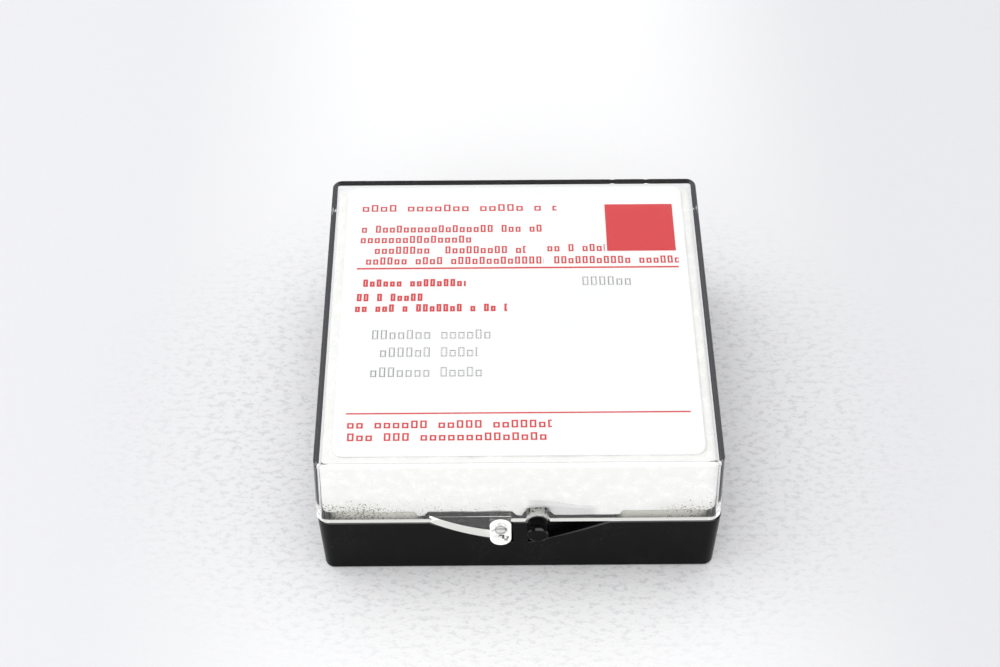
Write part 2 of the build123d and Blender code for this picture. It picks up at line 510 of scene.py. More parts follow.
@dataclass(frozen=True)
class StudLook:
    """Painted highlights and painted shade in the clear stud, placed in a plane that leans back over
    it.
    """

    lean: float = math.radians(48.0)
    outline: Pair = (1.75 * MM, 2.17 * MM)
    oval: Pair = (0.97 * MM, 0.62 * MM)
    oval_rise: float = 0.6 * MM
    # Painted shade: dark spots in the stud, standing in for the dark tray seen through it.
    dark_spot_place: Pair = (0.45 * MM, -0.75 * MM)
    dark_spot_radii: Pair = (0.95 * MM, 0.75 * MM)
    dark_spot_share: Pair = (1.1, 0.9)
    dark_spot_scale: float = 1400.0
    dark_spot_limits: Pair = (0.52, 0.57)
    streak_scale: float = 1800.0
    streak_limits: Pair = (0.4, 0.6)
    shade_end: Pair = (0.2 * MM, -0.1 * MM)
    rim_share: Pair = (0.78, 0.86)
    ring_share: Pair = (1.12, 0.98)
    inner_share: Pair = (0.82, 0.68)
    skin: float = 0.02 * MM
    upper: Colour = (0.42, 0.42, 0.42, 1.0)
    lower: Colour = (0.80, 0.80, 0.79, 1.0)
    inner: Colour = (0.25, 0.25, 0.25, 1.0)
    dark: Colour = (0.03, 0.03, 0.03, 1.0)

    def paint(self, graph: Graph, plan: Plan, light: Socket, glow: Colour) -> tuple[Socket, Socket]:
        """Paints the stud's highlights and shade into the light of the wall.

        Args:
            graph: Graph of the material.
            plan: Shared places of the box.
            light: Light of the rest of the moulding.
            glow: Brightest tone, for the stud's outline.

        Returns:
            Mask of the stud, and the light with the stud in it.
        """
        place = graph.place()
        across, back, height = graph.axes(place)
        axis_x, axis_z = plan.clear_stud
        middle_y = (plan.clear_tip - plan.half) / 2
        lean_y, lean_z = math.sin(self.lean), math.cos(self.lean)
        rise = graph.calc("ADD", graph.both(back, lean_y), graph.both(height, lean_z))
        middle = middle_y * lean_y + axis_z * lean_z
        front = graph.ramp(back, self.skin - plan.half, -plan.half)
        radial = stud_reach(graph, plan, plan.clear_stud)
        stud = graph.both(graph.ramp(radial, *plan.stud_share), front)
        edge = graph.reach(across, rise, (axis_x, middle), self.outline)
        oval = graph.reach(across, rise, (axis_x, middle + self.oval_rise), self.oval)
        dark_spot_x, dark_spot_rise = self.dark_spot_place
        dark_spot_area = graph.reach(across, rise, (axis_x + dark_spot_x, middle + dark_spot_rise), self.dark_spot_radii)
        dark_spots = graph.both(graph.patches(place, self.dark_spot_scale, self.dark_spot_limits),
                           graph.ramp(dark_spot_area, *self.dark_spot_share))
        streaks = graph.patches(place, self.streak_scale, self.streak_limits)
        shade_top, shade_low = (middle + end for end in self.shade_end)
        # Painted light and shade: lighter and darker tones, dark spots, a dark ring and a painted glow
        # on the outline.
        tone = graph.mix(streaks, self.upper, self.lower)
        tone = graph.mix(graph.ramp(rise, shade_top, shade_low), tone, self.lower)
        tone = graph.mix(dark_spots, tone, self.dark)
        tone = graph.mix(graph.ramp(oval, *self.ring_share), tone, self.dark)
        tone = graph.mix(graph.ramp(oval, *self.inner_share), tone, self.inner)
        tone = graph.mix(graph.ramp(edge, *self.rim_share), tone, glow)
        return stud, graph.mix(stud, light, tone)


@dataclass(frozen=True)
class ClearStyrene:
    """Clear moulded plastic whose edges show painted light, or painted shade for the black tray, at
    their far end.
    """

    ior: float = 1.59
    tint: Colour = (0.985, 0.99, 0.988, 1.0)
    # Painted glow of the rim's underside along the latch, of the front edge and of the stud's outline.
    glow: Colour = (0.76, 0.755, 0.73, 1.0)
    edge: Colour = (0.062, 0.063, 0.07, 1.0)
    # Black: painted shade as a base colour, and no painted light as an emission.
    blind: Colour = (0.0, 0.0, 0.0, 1.0)
    sheen: Colour = (0.5, 0.5, 0.5, 1.0)
    latch_depth: float = 6.6 * MM
    bevel_rise: float = 0.75 * MM
    waviness: float = 0.001 * MM
    # Painted light on the rounded front edge of the lid's top.
    front_edge_glow: Colour = (0.17, 0.165, 0.145, 1.0)
    top_round: float = 0.45 * MM
    ledge_rise: float = 1.4 * MM
    breaks: tuple[float, ...] = (-21.7 * MM, 18.6 * MM, 24.3 * MM)
    break_width: float = 0.8 * MM
    front_reach: Pair = (1.4 * MM, 1.2 * MM)
    ledge_across: Pair = (-16.0 * MM, -0.8 * MM)
    ledge_near: Pair = (0.6 * MM, 0.7 * MM)
    ledge_far: Pair = (1.8 * MM, 1.6 * MM)
    # Share of painted shade: how far the stud's base colour shuts out the light behind it.
    stud_shut: float = 0.8
    downward: Pair = (0.3, 0.45)
    fade: float = 1.0 * MM
    soft: float = 0.1 * MM
    top_soft: float = 0.04 * MM
    stud: StudLook = StudLook()

    def build(self, effects: Effects, plan: Plan) -> bpy.types.Material:
        """Makes the material.

        The rim's underside is what shows through the walls from above. A painted glow makes it bright
        along the latch, and painted shade makes it dark on the other sides, where it lies on the tray.

        Args:
            effects: Shared node groups.
            plan: Shared places of the box.

        Returns:
            The material.
        """
        material, graph, shader = new_material("clear_styrene", {
            "Roughness": 0.0, "IOR": self.ior, "Transmission Weight": 1.0,
            "Specular Tint": self.sheen, "Emission Strength": 1.0})
        place = graph.place()
        skin = effects.skin.use(graph, Vector=place, Broad=90.0, Fine=900.0, Grain=0.05)
        relief(graph, shader, skin["Height"], self.waviness)
        under = self.underside(graph, plan)
        bright = self.lit_part(graph, plan)
        # Painted light: a glow along the latch and at the back's breaks, and a faint painted light on
        # the rest of the underside.
        light = graph.mix(under, self.blind, graph.mix(bright, self.edge, self.glow))
        # Painted glow on the rounded front edge of the top.
        light = graph.mix(self.front_edge(graph, plan), light, self.front_edge_glow)
        stud, light = self.stud.paint(graph, plan, light, self.glow)
        # Painted shade: a black base colour shuts out the light behind the dark underside, the stud
        # and the tongue's ledge.
        dark = graph.both(under, graph.less(bright))
        shut = graph.calc("MAXIMUM", dark, graph.both(stud, self.stud_shut))
        shut = graph.calc("MAXIMUM", shut, self.ledge(graph, plan))
        graph.feed(shader.inputs["Emission Color"], light)
        graph.feed(shader.inputs["Base Color"], graph.mix(shut, self.tint, self.blind))
        let_light_through(graph, shader)
        return material

    def front_edge(self, graph: Graph, plan: Plan) -> Socket:
        """Mask of the rounded edge along the front of the lid's top, which gets a painted glow.

        Args:
            graph: Graph of the material.
            plan: Shared places of the box.

        Returns:
            Socket of the mask.
        """
        _, back, height = graph.axes(graph.place())
        start, top = plan.lid_top - self.top_round, plan.lid_top
        from_edge, to_edge = (depth - plan.half for depth in self.front_reach)
        return graph.both(
            graph.ramp(height, start - self.soft / 2, start + self.soft / 2),
            graph.ramp(height, top, top - self.top_soft),
            graph.ramp(back, from_edge, to_edge))

    def ledge(self, graph: Graph, plan: Plan) -> Socket:
        """Mask of the tongue's upper ledge inside the wall, which is painted dark: painted shade that
        lets no light through.

        Args:
            graph: Graph of the material.
            plan: Shared places of the box.

        Returns:
            Socket of the mask.
        """
        across, back, height = graph.axes(graph.place())
        top = plan.lid_rim + self.ledge_rise
        depth = graph.calc("ADD", back, plan.half)
        return graph.both(
            graph.within(height, top - self.soft, top + self.soft, self.soft / 2),
            graph.ramp(depth, *self.ledge_near),
            graph.ramp(depth, *self.ledge_far),
            graph.within(across, *self.ledge_across, 2 * self.soft))

    def underside(self, graph: Graph, plan: Plan) -> Socket:
        """Mask of the rim's underside: faces that look down, near the rim and behind the front face.

        Args:
            graph: Graph of the material.
            plan: Shared places of the box.

        Returns:
            Socket of the mask.
        """
        geometry = graph.add("ShaderNodeNewGeometry").outputs
        side = graph.calc("SUBTRACT", graph.both(geometry["Backfacing"], 2.0), 1.0)
        downward = graph.both(graph.axes(geometry["True Normal"])[2], side)
        _, back, height = graph.axes(graph.place())
        top = plan.lid_rim + self.bevel_rise
        low = graph.ramp(height, top + self.soft, top)
        behind = graph.ramp(back, -plan.half, self.soft / 2 - plan.half)
        return graph.both(graph.ramp(downward, *self.downward), low, behind)

    def lit_part(self, graph: Graph, plan: Plan) -> Socket:
        """Mask of the painted glow on the rim's underside: the latch and the breaks at the back.

        Args:
            graph: Graph of the material.
            plan: Shared places of the box.

        Returns:
            Socket of the mask.
        """
        across, back, _ = graph.axes(graph.place())
        latch_end = self.latch_depth - plan.half
        front = graph.ramp(back, latch_end, latch_end - self.fade)
        width = self.break_width
        any_gap = 0.0
        for middle in self.breaks:
            gap = graph.within(across, middle - width, middle + width, width / 2)
            any_gap = graph.calc("MAXIMUM", any_gap, gap)
        rear_end = plan.half - self.fade
        rear = graph.both(graph.ramp(back, rear_end - self.fade, rear_end), any_gap)
        return graph.calc("MAXIMUM", front, rear)


@dataclass(frozen=True)
class BlackStyrene:
    """Black moulded plastic with a satin skin, faint flow marks, painted highlights on its edges and a
    little dust.
    """

    colour: Colour = (0.0018, 0.0018, 0.0022, 1.0)
    flow: Colour = (0.0042, 0.0042, 0.005, 1.0)
    # Painted highlight on the rounded edges and the stud's end rim.
    highlight_tone: Colour = (0.085, 0.085, 0.086, 1.0)
    # Painted shade: the stud is darker than the rest of the same plastic.
    stud_shade_tone: Colour = (0.0012, 0.0012, 0.0014, 1.0)
    # Pale tone on the upward faces of the stud's root.
    pale_top: Colour = (0.62, 0.61, 0.58, 1.0)
    dust: Colour = (0.07, 0.07, 0.07, 1.0)
    rough_limits: Pair = (0.3, 1.1)
    rough_range: Pair = (0.19, 0.32)
    specular: float = 0.05
    edge_width: float = 0.45 * MM
    edge_past: float = 0.2 * MM
    tip_depth: Pair = (0.35 * MM, 0.2 * MM)
    tip_share: Pair = (0.78, 0.9)
    edge_rise: Pair = (0.2, 0.5)
    pale_top_rise: Pair = (0.1, 0.25)
    pale_top_scale: float = 1500.0
    pale_top_limits: Pair = (0.36, 0.42)
    patch_scale: float = 700.0
    patch_limits: Pair = (0.48, 0.56)
    flow_limits: Pair = (0.4, 0.75)
    ior: float = 1.55
    soft: float = 0.1 * MM
    skin: float = 0.02 * MM
    relief_depth: float = 0.006 * MM

    def build(self, effects: Effects, plan: Plan) -> bpy.types.Material:
        """Makes the material.

        Args:
            effects: Shared node groups.
            plan: Shared places of the box.

        Returns:
            The material.
        """
        material, graph, shader = new_material("black_styrene", {
            "Specular IOR Level": self.specular, "IOR": self.ior})
        place = graph.place()
        skin = effects.skin.use(graph, Vector=place, Broad=120.0, Fine=2600.0, Grain=0.35)
        specks = effects.dust.use(graph, Vector=place, Scale=520.0, Share=0.03, Radius=0.07)["Mask"]
        base = graph.mix(graph.ramp(skin["Blotch"], *self.flow_limits), self.colour, self.flow)
        stud, pale_top = self.stud_masks(graph, plan)
        # Painted shade that darkens the stud.
        base = graph.mix(stud, base, self.stud_shade_tone)
        # Painted highlights on the upward outer edges and the stud's end rim.
        base = graph.mix(self.painted_highlights(graph, plan), base, self.highlight_tone)
        # Pale patches on the upward faces of the stud's root.
        base = graph.mix(pale_top, base, self.pale_top)
        graph.feed(shader.inputs["Base Color"], graph.mix(specks, base, self.dust))
        graph.feed(shader.inputs["Roughness"],
                   graph.ramp(skin["Height"], *self.rough_limits, *self.rough_range))
        relief(graph, shader, skin["Height"], self.relief_depth)
        return material

    def stud_masks(self, graph: Graph, plan: Plan) -> tuple[Socket, Socket]:
        """Masks of the stud, and of pale patches on the upward faces of its root.

        Args:
            graph: Graph of the material.
            plan: Shared places of the box.

        Returns:
            Sockets of both masks.
        """
        place = graph.place()
        _, back, _ = graph.axes(place)
        inside = graph.ramp(stud_reach(graph, plan, plan.black_stud), *plan.stud_share)
        front = graph.ramp(back, self.soft - plan.half, -plan.half)
        root = graph.ramp(back, self.skin - plan.half, self.soft - plan.half)
        top = graph.ramp(graph.rise_of_face(), *self.pale_top_rise)
        pale_spots = graph.patches(place, self.pale_top_scale, self.pale_top_limits, 2.0)
        return graph.both(inside, front), graph.both(inside, root, top, pale_spots)

    def painted_highlights(self, graph: Graph, plan: Plan) -> Socket:
        """Mask of the painted highlights: upward edges near the outer walls, and the stud's end rim.

        Args:
            graph: Graph of the material.
            plan: Shared places of the box.

        Returns:
            Socket of the mask.
        """
        place = graph.place()
        across, back, _ = graph.axes(place)
        upward = graph.ramp(graph.rise_of_face(), *self.edge_rise)
        far = graph.calc("MAXIMUM", graph.calc("ABSOLUTE", across), graph.calc("ABSOLUTE", back))
        outer = graph.within(far, plan.half - self.edge_width, plan.half + self.edge_past, self.soft)
        radial = stud_reach(graph, plan, plan.black_stud)
        tip_start, tip_end = (plan.black_tip + depth for depth in self.tip_depth)
        tip = graph.ramp(back, tip_start, tip_end)
        patches = graph.patches(place, self.patch_scale, self.patch_limits)
        rim = graph.both(graph.ramp(radial, *self.tip_share), tip, patches)
        return graph.calc("MAXIMUM", graph.both(upward, outer), rim)


@dataclass(frozen=True)
class PrintRow:
    """A row of the card's print: its place and size in millimetres, and its ink."""

    left: float
    right: float
    base: float
    height: float
    pitch: float
    ink: Ink = Ink.RED
    dots: float = 0.0
    stroke: float = 0.3


@dataclass(frozen=True)
class PrintField:
    """A filled rectangle of the card's print, in millimetres."""

    left: float
    right: float
    low: float
    high: float
    ink: Ink = Ink.RED


@dataclass(frozen=True)
class PrintedCard:
    """White card printed with two rules, a plain square and rows of small boxes in outline."""

    paper: Colour = (0.97, 0.97, 0.965, 1.0)
    shade: Colour = (0.95, 0.95, 0.945, 1.0)
    roughness: float = 0.55
    fibre_depth: float = 0.004 * MM
    seed_step: float = 37.0
    rules: tuple[PrintField, ...] = (
        PrintField(-27.8, 28.3, 10.79, 11.17),
        PrintField(-28.2, 28.0, -21.86, -21.56),
        PrintField(16.0, 28.1, 14.9, 26.6),
    )
    rows: tuple[PrintRow, ...] = (
        PrintRow(-27.5, 7.4, 25.1, 1.7, 1.62),
        PrintRow(-27.4, 5.2, 19.8, 1.75, 1.24),
        PrintRow(-27.5, -7.8, 17.2, 1.75, 1.24),
        PrintRow(-27.4, 1.7, 14.55, 1.75, 1.24),
        PrintRow(-27.6, 4.8, 11.95, 1.75, 1.24),
        PrintRow(5.4, 15.6, 14.9, 1.75, 1.24),
        PrintRow(5.3, 28.4, 11.95, 1.75, 1.24),
        PrintRow(-27.8, -8.8, 6.65, 1.75, 1.16, stroke=0.37),
        PrintRow(-27.6, -16.1, 3.25, 1.75, 1.16, stroke=0.37),
        PrintRow(-27.8, -1.7, 0.75, 1.75, 1.16, stroke=0.37),
        PrintRow(-28.0, 5.3, -24.8, 1.6, 1.48),
        PrintRow(-27.9, 4.7, -27.4, 1.6, 1.48),
        PrintRow(11.3, 20.1, 6.7, 2.1, 1.46, Ink.GREY, 1.0, 0.26),
        PrintRow(18.6, 19.9, 2.75, 2.1, 1.3, Ink.GREY, 1.0, 0.26),
        PrintRow(-24.7, -4.2, -5.5, 2.1, 1.46, Ink.GREY, 1.0, 0.26),
        PrintRow(-24.7, -6.7, -9.5, 2.1, 1.46, Ink.GREY, 1.0, 0.26),
        PrintRow(-24.7, -4.2, -13.9, 2.1, 1.46, Ink.GREY, 1.0, 0.26),
    )

    def build(self, effects: Effects) -> bpy.types.Material:
        """Makes the material.

        Args:
            effects: Shared node groups.

        Returns:
            The material.
        """
        material, graph, shader = new_material("printed_card", {"Roughness": self.roughness})
        place = graph.place()
        skin = effects.skin.use(graph, Vector=place, Broad=60.0, Fine=5200.0, Grain=0.5)
        colour = graph.mix(skin["Blotch"], self.paper, self.shade)
        for item in self.rules:
            mask = effects.printed.use(graph, Vector=place, Left=item.left * MM, Right=item.right * MM,
                                       Low=item.low * MM, High=item.high * MM)["Mask"]
            colour = graph.mix(mask, colour, item.ink.value)
        for number, row in enumerate(self.rows):
            mask = effects.row.use(graph, Vector=place, Left=row.left * MM, Right=row.right * MM,
                                   Base=row.base * MM, Height=row.height * MM, Pitch=row.pitch * MM,
                                   Seed=number * self.seed_step, Dots=row.dots,
                                   Stroke=row.stroke * MM)["Mask"]
            colour = graph.mix(mask, colour, row.ink.value)
        graph.feed(shader.inputs["Base Color"], colour)
        relief(graph, shader, skin["Height"], self.fibre_depth)
        return material


@dataclass(frozen=True)
class CutFoam:
    """White open-cell foam with fine pores and dark specks towards the lower corners, painted shade
    towards the lower corners and the front, and a painted shaded wedge beside the latch.
    """

    name: str
    colour: Colour = (0.985, 0.98, 0.97, 1.0)
    # Painted shade, darker towards the lower corners and the front.
    painted_shade: Colour = (0.60, 0.585, 0.52, 1.0)
    pore: Colour = (0.74, 0.73, 0.69, 1.0)
    speck: Colour = (0.22, 0.215, 0.19, 1.0)
    # Painted shade of the wedge beside the latch, not a pressed mark.
    press: Colour = (0.60, 0.60, 0.60, 1.0)
    roughness: float = 0.95
    specular: float = 0.2
    front_shade: float = 0.0
    front_zone: Pair = (-26.0 * MM, -30.0 * MM)
    side_zone: Pair = (15.0 * MM, 26.0 * MM)
    left_zone: Pair = (5.0 * MM, -12.0 * MM)
    speck_scale: float = 3000.0
    speck_limit: float = 0.80
    speck_gain: float = 0.28
    pore_limits: Pair = (0.55, 1.0)
    pore_share: float = 0.35
    pore_depth: float = 0.12 * MM
    wedge_start: Pair = (0.8 * MM, 2.0 * MM)
    wedge_end: Pair = (13.5 * MM, 11.5 * MM)
    wedge_taper: Pair = (13.0 * MM, 1.0 * MM)
    wedge_steps: tuple[tuple[float, float, float], ...] = (
        (2.0 * MM, 1.7 * MM, 0.3), (3.6 * MM, 3.1 * MM, 0.4))

    def build(self, effects: Effects, low: float, high: float) -> bpy.types.Material:
        """Makes the material.

        Args:
            effects: Shared node groups.
            low: Level at which the specks are thickest.
            high: Level at which they end.

        Returns:
            The material.
        """
        material, graph, shader = new_material(self.name, {
            "Roughness": self.roughness, "Specular IOR Level": self.specular})
        place = graph.place()
        skin = effects.skin.use(graph, Vector=place, Broad=500.0, Fine=2300.0, Grain=0.8)
        across, back, level = graph.axes(place)
        front = graph.ramp(back, *self.front_zone, 0.1, 1.0)
        side = graph.ramp(graph.calc("ABSOLUTE", across), *self.side_zone)
        left = graph.ramp(across, *self.left_zone, 0.25, 1.0)
        near = graph.both(
            graph.calc("MAXIMUM", graph.both(side, 0.75), left), graph.ramp(level, high, low))
        corner = graph.both(near, graph.calc("MAXIMUM", side, 0.6), front)
        pores = graph.ramp(skin["Height"], *self.pore_limits)
        colour = graph.mix(graph.both(pores, self.pore_share), self.colour, self.pore)
        # Painted shade: darker towards the lower corners, and over the front face where the block asks
        # for it.
        shade_mask = graph.calc("MAXIMUM", graph.both(corner, 0.5), graph.both(front, self.front_shade))
        colour = graph.mix(shade_mask, colour, self.painted_shade)
        # Painted shade in a wedge beside the latch.
        colour = graph.mix(graph.both(self.wedge_shade_mask(graph, low), front), colour, self.press)
        grains = graph.noise(place, self.speck_scale, 1.0)
        limit = graph.calc("SUBTRACT", self.speck_limit, graph.both(corner, self.speck_gain))
        specks = graph.calc("GREATER_THAN", grains, limit)
        graph.feed(shader.inputs["Base Color"], graph.mix(specks, colour, self.speck))
        relief(graph, shader, skin["Height"], self.pore_depth)
        return material

    def wedge_shade_mask(self, graph: Graph, low: float) -> Socket:
        """Mask of the foam's painted shade: a wedge in two steps beside the latch's middle.

        The steps' heights shrink from the wedge's start to its end, by half.

        Args:
            graph: Graph of the material.
            low: Level of the block's underside.

        Returns:
            Socket of the mask.
        """
        across, _, level = graph.axes(graph.place())
        rise = graph.calc("SUBTRACT", level, low)
        span = graph.both(graph.ramp(across, *self.wedge_start), graph.ramp(across, *self.wedge_end))
        taper = graph.ramp(across, *self.wedge_taper, 0.5, 1.0)
        height = graph.calc("DIVIDE", rise, taper)
        steps = [graph.both(graph.ramp(height, top, full), share)
                 for top, full, share in self.wedge_steps]
        return graph.both(span, graph.calc("ADD", *steps))


@dataclass(frozen=True)
class Anodised:
    """Black anodised aluminium with fine turning marks round the filter's axis."""

    colour: Colour = (0.018, 0.018, 0.02, 1.0)
    dust: Colour = (0.2, 0.2, 0.2, 1.0)
    rough_limits: Pair = (0.4, 1.1)
    rough_range: Pair = (0.32, 0.48)
    metallic: float = 0.35
    mark_pitch: float = 0.22 * MM
    mark_depth: float = 0.002 * MM

    def build(self, effects: Effects) -> bpy.types.Material:
        """Makes the material.

        Args:
            effects: Shared node groups.

        Returns:
            The material.
        """
        material, graph, shader = new_material("black_anodised", {"Metallic": self.metallic})
        place = graph.place()
        across, back, _ = graph.axes(place)
        radius = graph.reach(across, back, (0.0, 0.0), (1.0, 1.0))
        marks = graph.calc("SINE", graph.both(radius, 2 * math.pi / self.mark_pitch))
        skin = effects.skin.use(graph, Vector=place, Broad=300.0, Fine=4000.0, Grain=0.5)
        dust = effects.dust.use(graph, Vector=place, Scale=900.0, Share=0.03, Radius=0.15)["Mask"]
        graph.feed(shader.inputs["Base Color"], graph.mix(dust, self.colour, self.dust))
        graph.feed(shader.inputs["Roughness"],
                   graph.ramp(skin["Height"], *self.rough_limits, *self.rough_range))
        relief(graph, shader, marks, self.mark_depth)
        return material


@dataclass(frozen=True)
class FilterCoating:
    """Mirror-like interference coating that turns from green to violet as it is tilted."""

    face: Colour = (0.05, 0.20, 0.15, 1.0)
    tilted: Colour = (0.26, 0.10, 0.34, 1.0)
    dust: Colour = (0.6, 0.6, 0.6, 1.0)
    roughness: float = 0.04
    metallic: float = 0.85

    def build(self, effects: Effects) -> bpy.types.Material:
        """Makes the material.

        Args:
            effects: Shared node groups.

        Returns:
            The material.
        """
        material, graph, shader = new_material("filter_coating", {
            "Roughness": self.roughness, "Metallic": self.metallic})
        tilt = graph.add("ShaderNodeLayerWeight", {"Blend": 0.35}).outputs["Facing"]
        place = graph.place()
        dust = effects.dust.use(graph, Vector=place, Scale=700.0, Share=0.03, Radius=0.1)["Mask"]
        tone = graph.mix(tilt, self.face, self.tilted)
        graph.feed(shader.inputs["Base Color"], graph.mix(dust, tone, self.dust))
        return material


@dataclass(frozen=True)
class PaleTable:
    """Pale table top with a painted pool of light behind and before the box, painted light that falls
    off from the left to the right, and a pebbled grain beside it.
    """

    # Painted light: the left is lit more than the right, and bright is the painted pool of light.
    left: Colour = (0.815, 0.817, 0.84, 1.0)
    right: Colour = (0.785, 0.787, 0.81, 1.0)
    bright: Colour = (0.97, 0.972, 0.98, 1.0)
    pebble: Colour = (0.2, 0.2, 0.22, 1.0)
    side_reach: float = 60.0 * MM
    band: Pair = (77.0 * MM, 16.5 * MM)
    grain: float = 0.26
    grain_radii: Pair = (75.0 * MM, 60.0 * MM)
    grain_share: Pair = (1.15, 0.55)
    grain_limits: Pair = (0.75, 1.05)
    stretch: tuple[float, float, float] = (0.55, 1.0, 1.0)
    relief_depth: float = 0.05 * MM
    roughness: float = 0.6

    def build(self, effects: Effects) -> bpy.types.Material:
        """Makes the material.

        Args:
            effects: Shared node groups.

        Returns:
            The material.
        """
        material, graph, shader = new_material("pale_table", {"Roughness": self.roughness})
        place = graph.place()
        across, back, _ = graph.axes(place)
        mapped = graph.add("ShaderNodeMapping", {"Vector": place, "Scale": self.stretch}).outputs[0]
        skin = effects.skin.use(graph, Vector=mapped, Broad=1100.0, Fine=3000.0, Grain=0.6)
        # Painted light: brighter on the left than on the right, and a painted pool of light in a band
        # across the middle.
        side = graph.mix(graph.ramp(across, -self.side_reach, self.side_reach), self.left, self.right)
        middle = graph.ramp(graph.calc("ABSOLUTE", across), *self.band)
        base = graph.mix(middle, side, self.bright)
        reach = graph.reach(across, back, (0.0, 0.0), self.grain_radii)
        pebbles = graph.both(graph.ramp(skin["Height"], *self.grain_limits),
                             graph.ramp(reach, *self.grain_share), self.grain)
        graph.feed(shader.inputs["Base Color"], graph.mix(pebbles, base, self.pebble))
        relief(graph, shader, skin["Height"], self.relief_depth)
        return material


def into_scene(name: str, data: bpy.types.ID) -> bpy.types.Object:
    """Adds an object to the scene.

    Args:
        name: Name of the object.
        data: Mesh, lamp or camera that it holds.

    Returns:
        The object.
    """
    made = bpy.data.objects.new(name, data)
    bpy.context.scene.collection.objects.link(made)
    return made


def grid_object(name: str, points: np.ndarray, wrap_rows: bool) -> bpy.types.Object:
    """Makes a mesh of quads from a grid of points that closes on itself along its columns.

    Args:
        name: Name of the object.
        points: Array of rows by columns by 3, in metres. The faces' normals point along the
            cross product of the rows' and the columns' directions.
        wrap_rows: Whether the last row joins the first. Otherwise a face closes each end row.

    Returns:
        The object, in the scene.
    """
    rows, columns, _ = points.shape
    index = np.arange(rows * columns).reshape(rows, columns)
    lower = index if wrap_rows else index[:-1]
    upper = np.roll(index, -1, axis=0) if wrap_rows else index[1:]
    quads = np.stack([lower, np.roll(lower, -1, axis=1), np.roll(upper, -1, axis=1), upper], axis=-1)
    faces = quads.reshape(-1, 4).tolist()
    if not wrap_rows:
        faces += [index[0, ::-1].tolist(), index[-1].tolist()]
    mesh = bpy.data.meshes.new(name)
    mesh.from_pydata(points.reshape(-1, 3), [], faces)
    mesh.update()
    mesh.polygons.foreach_set("use_smooth", np.ones(len(mesh.polygons), bool))
    return into_scene(name, mesh)


def smooth_step(value: np.ndarray) -> np.ndarray:
    """Smooth step from 0 to 1: three times the square of the value less twice its cube.

    Args:
        value: Values, of which only the part from 0 to 1 counts.

    Returns:
        The stepped values.
    """
    part = np.clip(value, 0, 1)
    return part * part * (3 - 2 * part)


def unevenness(points: np.ndarray, seed: int, waves: int = 14) -> np.ndarray:
    """Smooth random height over space: a sum of sine waves of random direction and phase.

    Args:
        points: Array of points in metres, of any shape ending in 3.
        seed: Seed of the random numbers.
        waves: Number of waves.

    Returns:
        Heights from about -1 to 1, with the points' shape less its last axis.
    """
    random = np.random.default_rng(seed)
    direction = random.normal(size=(waves, 3))
    direction /= np.linalg.norm(direction, axis=1, keepdims=True)
    length = random.uniform(2.0, 12.0, waves) * MM
    phase = random.uniform(0, 2 * np.pi, waves)
    angle = points @ (direction / length[:, None]).T * 2 * np.pi + phase
    return np.sin(angle).sum(axis=-1) / math.sqrt(waves)


@dataclass(frozen=True)
class Dent:
    """Round-edged hollow pressed into a block's front face."""

    x: float
    z: float
    half_x: float
    half_z: float
    depth: float
    soft: float = 0.8 * MM

    def press(self, points: np.ndarray, front: float) -> np.ndarray:
        """Keeps points behind the hollow's floor.

        The floor lies at the depth inside the half sizes and rises smoothly to the front face over
        the soft margin outside them.

        Args:
            points: Grid of points in metres.
            front: Y of the front face.

        Returns:
            The moved points.
        """
        gap_x = np.abs(points[..., 0] - self.x) - self.half_x
        gap_z = np.abs(points[..., 2] - self.z) - self.half_z
        outside = np.maximum(gap_x, gap_z) / self.soft
        floor = front + self.depth * (1 - smooth_step(outside))
        moved = points.copy()
        moved[..., 1] = np.where(outside < 1, np.maximum(points[..., 1], floor), points[..., 1])
        return moved


